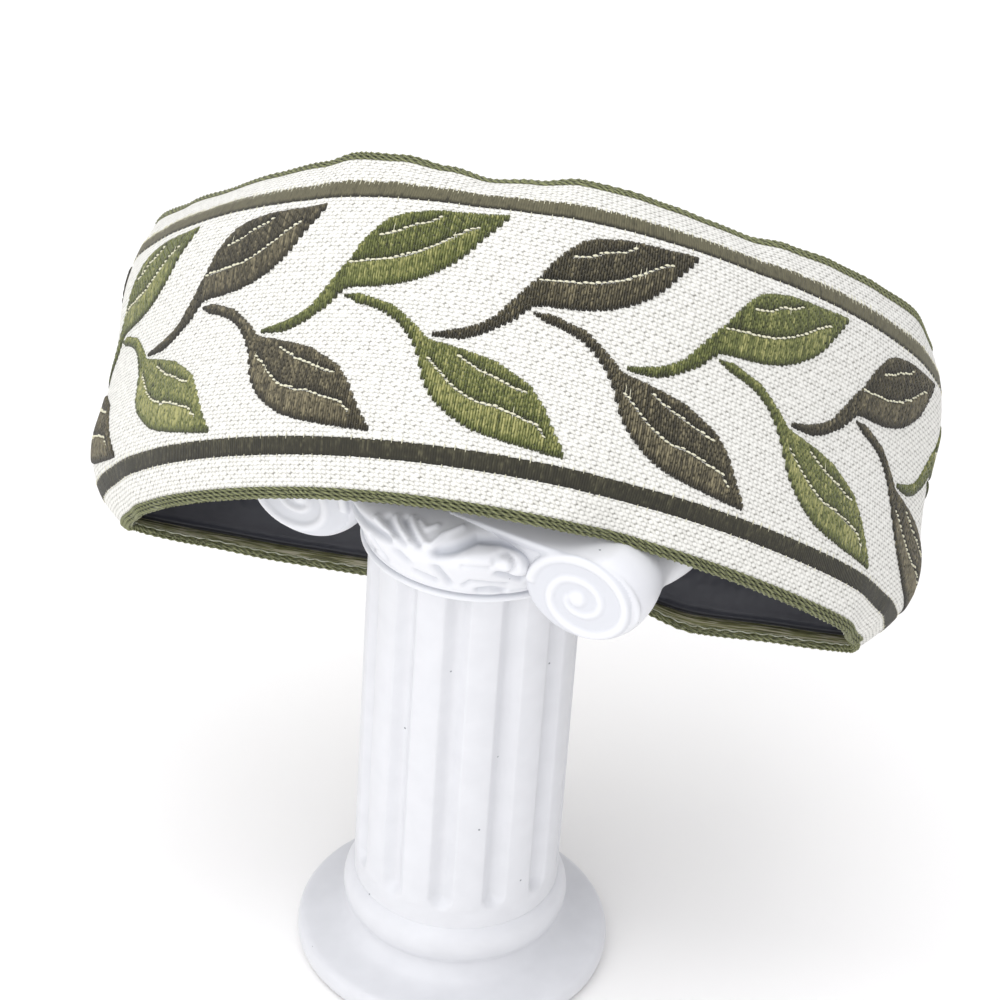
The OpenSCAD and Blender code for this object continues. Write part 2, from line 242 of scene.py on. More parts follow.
CARVING = [  # half width, height in mm; places as degrees round from the front and mm up the bowl
    (0.3, 0.3, [(-90, 1.5), (90, 1.5)]), (0.26, -0.75, [(-90, 2.25), (90, 2.25)]),
    (0.3, 0.25, [(-90, 2.9), (90, 2.9)]),
    (0.55, 0.58, [(-24.4, 12.8), (-17.2, 12.2), (-10.6, 11.5)]),
    (0.5, 0.63, [(-16, 14.9), (-8.2, 13.1), (-2.6, 11.9)]),
    (0.5, 0.69, [(-8.4, 16.1), (-1, 14), (4, 12.7), (7.6, 12.7), (11, 14.9), (19.2, 17.1)]),
    (0.45, 0.58, [(-3.4, 16.1), (2, 15), (6, 16.3)]),
    (0.6, -0.58, [(-19.4, 13.7), (-9.6, 12.4), (-4.6, 11.8)]),
    (0.55, -0.63, [(-11.6, 15.2), (-2.8, 13.4), (1.8, 12.3)]),
    (1.0, -0.92, [(-50, 9.6), (-26.6, 10.8), (-13.5, 11.2)]),
    (0.7, -0.69, [(-25, 8.3), (-21.8, 4.3)]),
    (0.55, -0.58, [(-40.4, 4.8), (-33.6, 3.6)]),
    (1.15, -0.69, [(-8.2, 8.7), (-5.4, 7.7)]),
    (0.75, -0.63, [(-0.6, 5.1), (7.8, 4.4)]),
    (0.7, -0.69, [(10.6, 8.6), (15.2, 4.4)]),
    (1.0, -1.15, [(10.8, 11.8), (19.2, 13.2), (27.6, 15.3), (39.4, 15), (47.8, 13.5), (53, 10.5)]),
    (1.5, 0.8, [(24.4, 11.4), (36, 12), (45, 11), (47, 9.6)]),
    (0.35, -0.69, [(22.2, 10.4), (33.2, 10.4)]),
    (0.65, -0.92, [(37.5, 8.7), (43.8, 7.4), (49.6, 6.2)]),
    (0.4, -0.8, [(35, 11.6), (38, 12.5), (41.4, 12.5), (43.9, 11.4), (44, 10.2), (42.3, 9.4)]),
    (0.8, 0.8, [(40, 10.8), (40.2, 10.8)]),
    (0.45, -0.52, [(22.6, 4.4), (25.8, 6), (32.2, 5.8), (42.4, 5)]),
    (0.6, -0.58, [(29.4, 3.3), (35.2, 3.8), (41.8, 3.1)])]


def tube(path, radii, sides=8):
    """Points and faces of a closed round tube along a path, with a radius at each point."""
    path = [Vector(p) for p in path]
    points, faces = [], []
    side = None
    for i, p in enumerate(path):
        along = (path[min(i + 1, len(path) - 1)] - path[max(i - 1, 0)]).normalized()
        side = along.orthogonal() if side is None else side - along * side.dot(along)
        side.normalize()
        other = along.cross(side)
        for k in range(sides):
            a = 2 * math.pi * k / sides
            points.append(p + (side * math.cos(a) + other * math.sin(a)) * radii[i])
    for i in range(len(path) - 1):
        for k in range(sides):
            n = (k + 1) % sides
            faces.append((i * sides + k, i * sides + n, (i + 1) * sides + n, (i + 1) * sides + k))
    faces.append(tuple(range(sides - 1, -1, -1)))
    faces.append(tuple(range((len(path) - 1) * sides, len(path) * sides)))
    return points, faces


capital_points, capital_faces = [], []


def add_cast(points, faces):
    """Puts one more closed form, in mm in the capital's own turn, with the casting."""
    start = len(capital_points)
    capital_points.extend(Vector(p) * MM for p in points)
    capital_faces.extend(tuple(start + i for i in f) for f in faces)


SLAB_PARTS = [  # middle height, height, depth and length beyond the scrolls' middles, in mm
    (96.1, 2.6, 2 * CAPITAL_HALF - 0.4, 3.0), (93.4, 3.4, 2 * CAPITAL_HALF - 1.8, 2.0)]
SLAB_ROUND = 0.6
for slab_z, slab_high, slab_deep, slab_over in SLAB_PARTS:
    slab = bmesh.new()
    bmesh.ops.create_cube(slab, size=1.0, matrix=Matrix.LocRotScale(
        (0, 0, slab_z), None, (2 * SCROLL_AT + slab_over, slab_deep, slab_high)))
    bmesh.ops.bevel(slab, geom=slab.edges[:], offset=SLAB_ROUND, segments=2, affect="EDGES")
    add_cast([v.co for v in slab.verts], [[v.index for v in f.verts] for f in slab.faces])
    slab.free()
for hand in (-1, 1):
    roll = []
    for share, size in rounded(ROLL, 2):
        for k in range(ROLL_SIDES):
            a = 2 * math.pi * k / ROLL_SIDES
            roll.append((hand * SCROLL_AT + SCROLL_WIDE * size * math.cos(a),
                         (2 * share - 1) * CAPITAL_HALF,
                         min(SCROLL_MID + SCROLL_HIGH * size * math.sin(a), CAPITAL_TOP)))
    count = len(roll) // ROLL_SIDES
    ends = [tuple(range(ROLL_SIDES - 1, -1, -1)), tuple(range(len(roll) - ROLL_SIDES, len(roll)))]
    add_cast(roll, [tuple(f) for f in grid_faces(count, ROLL_SIDES, True)] + ends)
    for face in (-1, 1):
        turns = np.linspace(0, WINDING[-1][0], 110)
        wound = np.interp(turns, *zip(*WINDING))
        wound = np.convolve(np.pad(wound, 4, mode="edge"), np.ones(9) / 9, mode="valid")
        path = [(hand * (SCROLL_AT - SCROLL_WIDE * r * math.cos(2 * math.pi * t)),
                 face * (CAPITAL_HALF - 0.1), SCROLL_MID + SCROLL_HIGH * r * math.sin(2 * math.pi * t))
                for t, r in zip(turns, wound)]
        add_cast(*tube(path, np.interp(turns, *zip(*WOUND_CORD))))
        eye = [(hand * SCROLL_AT, face * (CAPITAL_HALF + y), SCROLL_MID) for y, _ in EYE]
        add_cast(*tube(eye, [r for _, r in EYE], 16))
        rib = [(hand * x, face * (CAPITAL_HALF - RIB_BACK), RIB_TOP)
               for x in np.linspace(2, SCROLL_AT - 3, 12)]
        for k, a in enumerate(np.radians(np.linspace(90, -40, 24))):
            rib.append((hand * (SCROLL_AT + (SCROLL_WIDE + 0.2) * math.cos(a)),
                        face * (CAPITAL_HALF - RIB_BACK - RIB_AWAY * k),
                        SCROLL_MID + (SCROLL_HIGH - 0.9) * math.sin(a)))
        add_cast(*tube(rib, np.interp(range(len(rib)), *zip(*RIB_POINTS))))

casting = bpy.data.meshes.new("column_capital_cast")
casting.from_pydata([tuple(p) for p in capital_points], [], capital_faces)
casting.update()
rough = bpy.data.objects.new("capital_rough", casting)
scene.collection.objects.link(rough)
melt = rough.modifiers.new("melt", "REMESH")
melt.mode = "VOXEL"
melt.voxel_size = MELT_SIZE * MM
melt.use_smooth_shade = True
ease = rough.modifiers.new("ease", "SMOOTH")
ease.factor = 0.5
ease.iterations = 2
bpy.context.view_layer.update()
cast = bpy.data.meshes.new_from_object(rough.evaluated_get(bpy.context.evaluated_depsgraph_get()))
bpy.data.objects.remove(rough)
# Painted shade: the scrolls' flat ground takes a grey tone that rises to the plain cast tone up the
# sides of the cords.
forward = np.abs([v.co.y for v in cast.vertices]) / MM - CAPITAL_HALF
raised = np.clip((forward - CORD_FOOT) / CORD_RISE, 0, 1)
cast_tones = np.where(forward > -FACE_SKIN, FACE_SHADE_TONE + raised * (CAST_TONE - FACE_SHADE_TONE), CAST_TONE)
cast.transform(Matrix.Rotation(CAPITAL_TURN, 4, "Z"))
capital = new_piece("column_capital_carved", [v.co for v in cast.vertices],
                    [p.vertices for p in cast.polygons], [shaded_capital_resin], ["column_capital"])


def give_tone(piece, values):
    """Keeps a dark-to-light share for each point, mostly painted light and shade, which the capital
    resin and thread materials read.
    """
    layer = piece.data.attributes.new("tone", "FLOAT", "POINT")
    layer.data.foreach_set("value", np.asarray(values, np.float32).ravel())


give_tone(capital, cast_tones)

# The bowl is turned on its own and carved with worn leaves, a curl and an egg, the same on the
# front and the back. Below them two fine rings and a groove run round its collar.
BOWL_SIDES, BOWL_MEAN_R = 480, 19.5
COLLAR_TOP, COLLAR_STEP = 3.6, 0.14  # rings lie this close up to here
profile = np.array(rounded(BOWL, 2))
climb = np.concatenate([[0], np.cumsum(np.hypot(*np.diff(profile, axis=0).T))])
rows = np.concatenate([
    np.arange(0, COLLAR_TOP, COLLAR_STEP), np.linspace(COLLAR_TOP + 0.1, climb[-1], 42)])
bowl_r, bowl_z = np.interp(rows, climb, profile[:, 0]), np.interp(rows, climb, profile[:, 1])
out_r, out_z = np.gradient(bowl_z, rows), -np.gradient(bowl_r, rows)
degree = np.arange(BOWL_SIDES) * 360 / BOWL_SIDES
degree, up_bowl = np.meshgrid((degree + 90) % 180 - 90, rows)
carved = np.zeros(degree.shape)
per_degree = math.radians(BOWL_MEAN_R)
for half_width, high, places in CARVING:
    nearest = np.full(degree.shape, 1e3)
    for (a0, u0), (a1, u1) in zip(places, places[1:]):
        bx, by = (a1 - a0) * per_degree, u1 - u0
        px, py = (degree - a0) * per_degree, up_bowl - u0
        share = np.clip((px * bx + py * by) / (bx * bx + by * by), 0, 1)
        nearest = np.minimum(nearest, np.hypot(px - share * bx, py - share * by))
    carved += high * np.exp(-(nearest / half_width) ** 2)
turn = np.radians(np.arange(BOWL_SIDES) * 360 / BOWL_SIDES - 90) + CAPITAL_TURN
radius = bowl_r[:, None] + out_r[:, None] * carved
height = bowl_z[:, None] + out_z[:, None] * carved
points = np.stack([radius * np.cos(turn), radius * np.sin(turn), height], -1)
bowl = new_piece("capital_bowl", points.reshape(-1, 3) * MM, grid_faces(len(rows), BOWL_SIDES, True),
                 [shaded_capital_resin])
# The carving's hollows and the collar's groove are painted grey as painted shade; the raised parts keep
# the plain tone.
give_tone(bowl, np.clip(CAST_TONE + 0.6 * carved, 0, 1))

# Lining: a smooth dark blue-black satin band, a little narrower than the ribbon and sewn to its
# back. It follows the ribbon round the ring, and shows in the hollow on both sides of the column.
# The ring's one curved form is worked out here, for the lining and for all that lies on the band.
BAND_W = 60.0
LINING_NEAR, LINING_T, LINING_INSET = 1.25, 0.9, 4.0
SEAM_SINK = 0.35  # the cloth rolls in by this where its two ends meet at the back
FRONT_BEND, SIDE_BEND, CORNER_BEND = (64.0, 29.5), (84.0, 44.0), (9.0, 106.5)  # radius mm, degrees
PLAN_EASE = (-3.6, -1.2, 1.2, 3.6)  # each bend's start and end are eased over these places in mm
PLAN_STEP, BACK_RUN = 0.5, 5  # mm; past the last bend the band runs straight to the back seam
FLAT_SHARE, WAIST, TOP_CURL, LOW_CURL = 0.32, 23.0, 60.0, 54.0  # share of the half width, degrees
BAND_PLACE, BAND_TURN = (2.42, -2.35, 124.35), (-49.01, 2.05, -6.21)  # mm, degrees
TOP_RIPPLE = [  # place along the front in mm, extra inward curl of the upper margin in degrees
    (-96, -10), (-80, 2), (-66, 8), (-52, 5), (-40, 0), (-32, -9), (-24, -4), (-16, 9), (-8, 20),
    (0, 15), (8, 4), (16, 5), (24, 9), (32, 12), (40, 13), (48, 3), (58, -4), (70, -9), (82, -14),
    (96, -6)]
LOW_RIPPLE = [  # the same for the lower margin
    (-176, 36), (-155, 26), (-140, 26), (-125, 30), (-110, 35), (-98, 32), (-86, 24), (-72, 6),
    (-60, 0), (14, 0), (24, 15), (34, 3), (46, -2), (72, -15), (86, 12), (98, 42), (110, 28),
    (125, 25), (140, 20), (155, 45), (176, 36)]
bends = [(0.0, 0.0)]
for bend_r, sweep in (FRONT_BEND, SIDE_BEND, CORNER_BEND):
    bends.append((bends[-1][0] + bend_r * math.radians(sweep), bends[-1][1] + sweep))


def heading(s):
    """How far the ring's tangent has turned at s mm from the middle of the front, in degrees."""
    turned_at = [np.sign(s + o) * np.interp(np.abs(s + o), *zip(*bends)) for o in PLAN_EASE]
    return sum(turned_at) / len(PLAN_EASE)


plan_count = math.ceil((bends[-1][0] + BACK_RUN) / PLAN_STEP)
middles = np.radians(heading((np.arange(plan_count) + 0.5) * PLAN_STEP))
PLAN_X = np.concatenate([[0], np.cumsum(np.cos(middles))]) * PLAN_STEP
PLAN_Y = np.concatenate([[0], np.cumsum(np.sin(middles))]) * PLAN_STEP
PLAN_END = plan_count * PLAN_STEP
HALF_RING = PLAN_END + PLAN_X[-1]
tilt = [Matrix.Rotation(math.radians(a), 3, axis) for a, axis in zip(BAND_TURN, "XYZ")]
BAND_MATRIX = np.array(tilt[2] @ tilt[1] @ tilt[0])


def rippled(s, rows):
    """Value of a ripple table at s, eased from row to row."""
    value = np.full(s.shape, float(rows[0][1]))
    for (a, low), (b, high) in zip(rows, rows[1:]):
        share = np.clip((s - a) / (b - a), 0, 1)
        value += (high - low) * share * share * (3 - 2 * share)
    return value


def on_band(s, v, depth=0.0):
    """Points in metres: s mm along the ring, v mm up the cloth, depth mm in from its face."""
    s, v, depth = np.broadcast_arrays(*(np.asarray(x, float) for x in (s, v, depth)))
    half = BAND_W / 2
    waist = math.radians(WAIST)
    up = v >= half
    curl = np.radians(np.where(up, TOP_CURL + rippled(s, TOP_RIPPLE), LOW_CURL + rippled(s, LOW_RIPPLE)))
    q = np.abs(v - half) / half
    inner = np.minimum(q, FLAT_SHARE)
    rise = half * np.sin(waist * inner) / waist
    sunk = -half * (1 - np.cos(waist * inner)) / waist
    rate = curl / (1 - FLAT_SHARE) - waist
    start = -waist * inner
    lean = start + rate * np.maximum(q - FLAT_SHARE, 0)
    rise += half * (np.sin(lean) - np.sin(start)) / rate
    sunk += half * (np.cos(start) - np.cos(lean)) / rate
    side = np.where(up, 1.0, -1.0)
    z = side * (rise - np.sin(lean) * depth)
    inward = sunk + np.cos(lean) * depth
    away = np.abs(s)
    past = away >= PLAN_END
    steps = np.arange(plan_count + 1) * PLAN_STEP
    x = np.where(past, PLAN_X[-1] - (away - PLAN_END), np.interp(away, steps, PLAN_X))
    y = np.interp(away, steps, PLAN_Y)
    turn = np.radians(np.where(past, 180.0, heading(away)))
    points = np.stack([np.sign(s) * (x - np.sin(turn) * inward), y + np.cos(turn) * inward, z], -1)
    return (points @ BAND_MATRIX.T + BAND_PLACE) * MM


def give_places(piece, places):
    """Keeps each point's place along and across the cloth, in metres, as a UV map."""
    mesh = piece.data
    corner = np.zeros(len(mesh.loops), int)
    mesh.loops.foreach_get("vertex_index", corner)
    mesh.uv_layers.new(name="cloth").data.foreach_set("uv", places[corner].ravel())


def cloth_wall(name, rows, step, near, far, materials, replaced):
    """A sewn ring of cloth between two depths, with its place along and across kept as a UV map."""
    columns = np.linspace(-HALF_RING, HALF_RING, int(2 * HALF_RING / step) + 1)
    across = np.concatenate([rows, rows[::-1]])
    depths = np.concatenate([np.full(len(rows), near), np.full(len(rows), far)])
    s, v = np.meshgrid(columns, across, indexing="ij")
    depth = depths + SEAM_SINK * (np.abs(s) > HALF_RING - 0.1)
    points = on_band(s, v, depth).reshape(-1, 3)
    faces = grid_faces(len(columns), len(across), True)[:, ::-1]
    ends = [tuple(range(len(across))), tuple(range(len(points) - 1, len(points) - len(across) - 1, -1))]
    piece = new_piece(name, points, [*faces, *ends], materials, replaced)
    give_places(piece, np.stack([s.ravel(), v.ravel()], -1) * MM)
    mesh = piece.data
    back = np.tile(np.arange(len(across)) >= len(rows) - 1, len(columns) - 1)
    mesh.polygons.foreach_set("material_index", [*(back * (len(materials) - 1)).tolist(), 0, 0])
    mesh.update()
    return piece


# Lining satin: nearly black with a blue cast and a dull sheen, softly creased. Its filament threads
# are too fine to show, so ribs are drawn 1.9 mm apart in their place.
LINING_RIB, CREASE_LONG = 1.885, 14  # mm
WAVE_BANDS = 20 / (2 * math.pi)  # bands that the wave texture draws for each unit of its scale
satin, tree, shader = new_material(
    "dark_lining_satin", "292A33", 0.5, Sheen_Weight=0.35, Sheen_Roughness=0.4)
cloth = add_node(tree, "ShaderNodeUVMap", uv_map="cloth").outputs["UV"]
threads = add_node(tree, "ShaderNodeTexWave", {
    "Vector": cloth, "Scale": 1 / (LINING_RIB * MM * WAVE_BANDS), "Distortion": 1.5, "Detail": 1.0},
    bands_direction="X", wave_profile="SIN")
creases = add_node(tree, "ShaderNodeTexNoise", {
    "Vector": cloth, "Scale": 1 / (CREASE_LONG * MM), "Detail": 3.0})
folds = add_node(tree, "ShaderNodeBump", {
    "Height": creases.outputs["Fac"], "Strength": 0.6, "Distance": 2 * MM})
ribs = add_node(tree, "ShaderNodeBump", {
    "Height": threads.outputs["Fac"], "Strength": 0.25, "Distance": 0.05 * MM,
    "Normal": folds.outputs["Normal"]})
tree.links.new(ribs.outputs["Normal"], shader.inputs["Normal"])

LINING_ROWS, LINING_STEP = 27, 1.5
lining_rows = np.linspace(LINING_INSET, BAND_W - LINING_INSET, LINING_ROWS)
lining = cloth_wall("lining_band", lining_rows, LINING_STEP, LINING_NEAR, LINING_NEAR + LINING_T,
                    [satin], ["lining"])

# Ribbon: jacquard cloth 60 mm wide with a cream cotton ground, sewn into a ring over the lining.
# Its ground is woven in rows of short rounded threads, with a fine slanting relief over them.
# On its back the olive and brown threads run loose between the leaves.
RIBBON_T, RIBBON_EDGE, RIBBON_ROWS, RIBBON_STEP = 0.8, 0.4, 51, 1.1

# Cream cotton: matt and nearly white on top of its threads, with painted shade in the gaps between them,
# and a little uneven, as spun cotton is. Its rows and columns are as far apart as the real ones.
ROW_HIGH, COLUMN_WIDE, WANDER_LONG, UNEVEN_LONG, SELVAGE_WIDE = 0.66, 0.84, 2.5, 1.1, 1.85  # mm
cream, tree, shader = new_material("cream_cotton_weave", "F6F3EA", 0.85, Sheen_Weight=0.15)
cloth = add_node(tree, "ShaderNodeUVMap", uv_map="cloth").outputs["UV"]
split = add_node(tree, "ShaderNodeSeparateXYZ", {"Vector": cloth})
wander = add_node(tree, "ShaderNodeTexNoise", {"Vector": cloth, "Scale": 1 / (WANDER_LONG * MM)})
uneven = add_node(tree, "ShaderNodeTexNoise", {
    "Vector": cloth, "Scale": 1 / (UNEVEN_LONG * MM), "Detail": 2.0})
sums = {"along": split.outputs["X"], "across": split.outputs["Y"],
        "wander": wander.outputs["Fac"], "uneven": uneven.outputs["Fac"]}
WEAVE_SUMS = [  # result, sum, its terms; a dip is 0 on top of a thread and grows toward the gaps
    ("row", "DIVIDE", "across", ROW_HIGH * MM),
    ("row_share", "FRACT", "row"),
    ("column", "DIVIDE", "along", COLUMN_WIDE * MM),
    ("column", "MULTIPLY_ADD", "wander", 0.5, "column"),
    ("column", "MULTIPLY_ADD", "row_share", 0.35, "column"),
    ("column_share", "FRACT", "column"),
    ("row_way", "MULTIPLY_ADD", "row_share", 2.0, -1.0),
    ("row_way", "ABSOLUTE", "row_way"),
    ("column_way", "MULTIPLY_ADD", "column_share", 2.0, -1.0),
    ("column_way", "ABSOLUTE", "column_way"),
    ("slant", "SUBTRACT", "row", "column"),
    ("slant", "MULTIPLY", "slant", math.pi),
    ("slant", "COSINE", "slant"),
    ("row_dip", "POWER", "row_way", 1.7),
    ("column_dip", "POWER", "column_way", 2.6),
    ("crossing", "MULTIPLY_ADD", "column_dip", 0.14, 0.3),
    ("dip", "MULTIPLY", "row_dip", "crossing"),
    ("dip", "MULTIPLY_ADD", "column_dip", 0.3, "dip"),
    ("dip", "MULTIPLY_ADD", "slant", 0.13, "dip"),
    ("spun", "MULTIPLY_ADD", "uneven", 2.8, -0.3),
    ("dip", "MULTIPLY", "dip", "spun"),
    ("from_middle", "SUBTRACT", "across", BAND_W / 2 * MM),
    ("from_middle", "ABSOLUTE", "from_middle"),
    ("in_selvage", "GREATER_THAN", "from_middle", (BAND_W / 2 - SELVAGE_WIDE) * MM)]
for result, operation, *terms in WEAVE_SUMS:
    terms = {place: sums.get(term, term) for place, term in enumerate(terms)}
    sums[result] = add_node(tree, "ShaderNodeMath", terms, operation=operation).outputs[0]
# The ramp paints shade: the deeper the dip toward a gap, the greyer the cream.
ramp = add_node(tree, "ShaderNodeValToRGB", {"Fac": sums["dip"]},
                stops=[(0.04, "F3F2EB"), (1.0, "88857A")])
# Under the selvage cords the ground is dark olive: the selvage's own olive, darkened as painted shade
# between the cords.
ground = add_node(tree, "ShaderNodeMixRGB", {
    "Fac": sums["in_selvage"], "Color1": ramp.outputs["Color"], "Color2": linear("2B3017")})
tree.links.new(ground.outputs["Color"], shader.inputs["Base Color"])
bump = add_node(tree, "ShaderNodeBump", {
    "Height": sums["dip"], "Strength": 0.9, "Distance": -0.22 * MM})
tree.links.new(bump.outputs["Normal"], shader.inputs["Normal"])

# Back of the ribbon: matt and streaky, because its loose olive, brown and cream threads lie
# lengthwise side by side.
THREAD_LONG, THREAD_WIDE = 6, 0.5  # mm
reverse, tree, shader = new_material("ribbon_back_floats", "7C7A50", 0.8, Sheen_Weight=0.2)
cloth = add_node(tree, "ShaderNodeUVMap", uv_map="cloth").outputs["UV"]
stretch = add_node(tree, "ShaderNodeMapping", {
    "Vector": cloth, "Scale": (1 / (THREAD_LONG * MM), 1 / (THREAD_WIDE * MM), 1.0)})
streaks = add_node(tree, "ShaderNodeTexNoise", {
    "Vector": stretch.outputs["Vector"], "Scale": 1.0, "Detail": 2.0})
ramp = add_node(tree, "ShaderNodeValToRGB", {"Fac": streaks.outputs["Fac"]},
                stops=[(0.36, "5B5A35"), (0.5, "84854F"), (0.62, "CDC7AC")])
tree.links.new(ramp.outputs["Color"], shader.inputs["Base Color"])
bump = add_node(tree, "ShaderNodeBump", {
    "Height": streaks.outputs["Fac"], "Strength": 0.6, "Distance": 0.2 * MM})
tree.links.new(bump.outputs["Normal"], shader.inputs["Normal"])

ribbon_rows = np.linspace(RIBBON_EDGE, BAND_W - RIBBON_EDGE, RIBBON_ROWS)
ribbon = cloth_wall("ribbon_cloth", ribbon_rows, RIBBON_STEP, 0.0, RIBBON_T,
                    [cream, reverse], ["ribbon"])

# Selvages: at both edges of the ribbon olive cords lie side by side along it, each twisted from
# two plies of cotton, and wrap round the edge to its back. They are woven in with the ground.
draws = np.random.default_rng(7)
CORD_TWIST, CORD_THIN, CORD_THICK = 2.8, 0.15, 0.37  # mm for a full twist, least and most radius
TWIST_DRIFT, DRIFT_PLACES, PLY_UNEVEN = 1.3, 80, 0.12  # the twist drifts, and its tones vary
CORDS = [  # distance from the edge, depth under the face in mm, points round, step along in mm
    (1.6, -0.02, 8, 0.35), (0.98, -0.03, 8, 0.35), (0.36, 0.02, 8, 0.35), (0.08, 0.56, 6, 0.5),
    (0.65, 0.92, 6, 0.5)]

# Olive cord: matt and hairy, with painted shade between its plies and painted light on top of them.
HAIR_LONG = 0.25  # mm
olive, tree, shader = new_material("olive_selvage_cord", "5A6236", 0.7, Sheen_Weight=0.2)
tone = add_node(tree, "ShaderNodeAttribute", attribute_name="tone").outputs["Fac"]
ramp = add_node(tree, "ShaderNodeValToRGB", {"Fac": tone},
                stops=[(0.0, "2B2F18"), (1.0, "939768")])
tree.links.new(ramp.outputs["Color"], shader.inputs["Base Color"])
hairs = add_node(tree, "ShaderNodeTexNoise", {
    "Vector": add_node(tree, "ShaderNodeTexCoord").outputs["Object"], "Scale": 1 / (HAIR_LONG * MM)})
bump = add_node(tree, "ShaderNodeBump", {
    "Height": hairs.outputs["Fac"], "Strength": 0.5, "Distance": 0.1 * MM})
tree.links.new(bump.outputs["Normal"], shader.inputs["Normal"])


def cord_round_ring(v, depth, thin, thick, twist, step, sides, sway=0.0, sway_long=1.0):
    """Points, faces and painted light-and-shade tones of a cord of two twisted plies that runs once
    round the ring.
    """
    s = np.linspace(-HALF_RING, HALF_RING, int(2 * HALF_RING / step) + 1)
    v = v + sway * np.sin(2 * math.pi * s / sway_long)
    heart = on_band(s, v, depth)
    nudge = 0.2
    out = on_band(s, v, depth - nudge) - heart
    up = on_band(s, v + nudge, depth) - heart
    out /= np.linalg.norm(out, axis=-1, keepdims=True)
    up /= np.linalg.norm(up, axis=-1, keepdims=True)
    around = np.arange(sides) * 2 * math.pi / sides
    plies = np.cos(around) ** 2
    reach = (thin + (thick - thin) * plies)[None, :] * MM
    drift = np.interp(s, np.linspace(-HALF_RING, HALF_RING, DRIFT_PLACES),
                      draws.normal(0, TWIST_DRIFT, DRIFT_PLACES))
    angle = around[None, :] + (2 * math.pi * s / twist + drift)[:, None]
    sideways = (reach * np.cos(angle))[..., None] * up[:, None, :]
    outward = (reach * np.sin(angle))[..., None] * out[:, None, :]
    # The tones are painted light on each ply and painted shade between the plies, a little uneven.
    tones = np.broadcast_to(plies, angle.shape) + draws.normal(0, PLY_UNEVEN, angle.shape)
    points = (heart[:, None, :] + sideways + outward).reshape(-1, 3)
    return points, grid_faces(len(s), sides, True), np.clip(tones, 0, 1).ravel()


cord_points, cord_faces, cord_tones = [], [], []
for edge in (0, 1):
    for inset, depth, sides, step in CORDS:
        v = BAND_W - inset if edge else inset
        points, faces, tones = cord_round_ring(
            v, depth, CORD_THIN, CORD_THICK, CORD_TWIST, step, sides)
        cord_faces.append(faces + sum(len(p) for p in cord_points))
        cord_points.append(points)
        cord_tones.append(tones)
selvages = new_piece("selvage_cords", np.concatenate(cord_points), np.concatenate(cord_faces),
                     [olive])
give_tone(selvages, np.concatenate(cord_tones))

# Brown lines: near each border dark brown satin threads cross the ribbon side by side and lie
# proud of its ground, so they read as one line with fine light streaks and a slightly toothed edge.
FLOAT_PITCH, FLOAT_WIDE = 0.42, 0.46
FLOAT_ROOT, FLOAT_CLEAR = 0.06, 0.04  # mm that a thread's sides sink in, and its top stands over them
BOUND_WIDE, BOUND_REACH, BOUND_PRESS = 0.16, 0.26, 0.6  # where it is held down: mm, mm, share
FIBRE_UNEVEN, TOP_GLEAM, GLEAM_LONG = 0.1, 0.14, 1.3  # tones; the last is mm from its upper end
LOW_SHADE, SHADE_LONG = 0.1, 1.8  # its lower end is in shade: tone share, length in round ends
STRIPE = (6.84, 9.85)
STRIPE_RISE, STRIPE_END, STRIPE_FLAT = 0.12, 0.3, 0.447  # height and round end in mm, half flat top
STRIPE_TONES, TONE_UNEVEN = (0.46, 0.95), 0.05  # of the lower and the upper line
END_UNEVEN, TOOTH = 0.03, 0.4  # mm


def satin_floats(strands, rise, end_length, flat_top):
    """Points, faces, tones and places of satin threads that cross the ribbon, each from one
    height to another, rounded down at its ends and held down where it is bound. A thread that
    ends a step has its corner on that side drawn in."""
    part_s, part_v, part_depth, part_tone, faces = [], [], [], [], []
    count = 0
    for s, low, high, bound, tone, outer in strands:
        fill = np.linspace(low, high, max(2, math.ceil((high - low) / 0.9)) + 1)
        near = [end + way * end_length * share
                for end, way in ((low, 1), (high, -1)) for share in (0.12, 0.4, 0.9)]
        held = [b + o for b in bound for o in (-BOUND_REACH, 0.0, BOUND_REACH)]
        rings = np.unique(np.round([x for x in [*fill, *near, *held] if low <= x <= high], 2))
        end_round = min(end_length, (high - low) / 2)
        rest = 1 - np.clip(np.minimum(rings - low, high - rings) / end_round, 0, 1)
        lift = np.sqrt(1 - rest * rest)
        for b in bound:
            lift *= 1 - BOUND_PRESS * np.exp(-((rings - b) / BOUND_WIDE) ** 2)
        # Painted light and shade in the tone: lighter toward the upper end, darker over the lower end,
        # at the round ends and where the thread is held down.
        gleam = TOP_GLEAM * np.clip(1 - (high - rings) / GLEAM_LONG, 0, 1)
        fibre = tone + draws.normal(0, FIBRE_UNEVEN, len(rings)) + gleam
        lit = np.clip((rings - low) / (SHADE_LONG * end_length), 0, 1)
        lit = LOW_SHADE + (1 - LOW_SHADE) * lit
        offsets = np.array([-0.5, -flat_top, flat_top, 0.5]) * FLOAT_WIDE
        shape = np.array([0.0, 1.0, 1.0, 0.0])
        drawn_in = np.array([1, 0.3, 0, 0] if outer < 0 else [0, 0, 0.3, 1]) * 0.3 * end_length
        toward = np.where(rings < (low + high) / 2, 1.0, -1.0) * rest
        part_s.append(np.broadcast_to(s + offsets, (len(rings), 4)).ravel())
        part_v.append((rings[:, None] + toward[:, None] * drawn_in).ravel())
        part_depth.append((FLOAT_ROOT - (FLOAT_CLEAR + lift[:, None] * rise) * shape).ravel())
        part_tone.append(np.clip(fibre * lit * (0.3 + 0.7 * lift), 0, 1).repeat(4))
        faces.append(grid_faces(len(rings), 4)[:, ::-1] + count)
        count += 4 * len(rings)
    part_s, part_v = np.concatenate(part_s), np.concatenate(part_v)
    points = on_band(part_s, part_v, np.concatenate(part_depth))
    return points, np.concatenate(faces), np.concatenate(part_tone), np.stack([part_s, part_v], -1) * MM


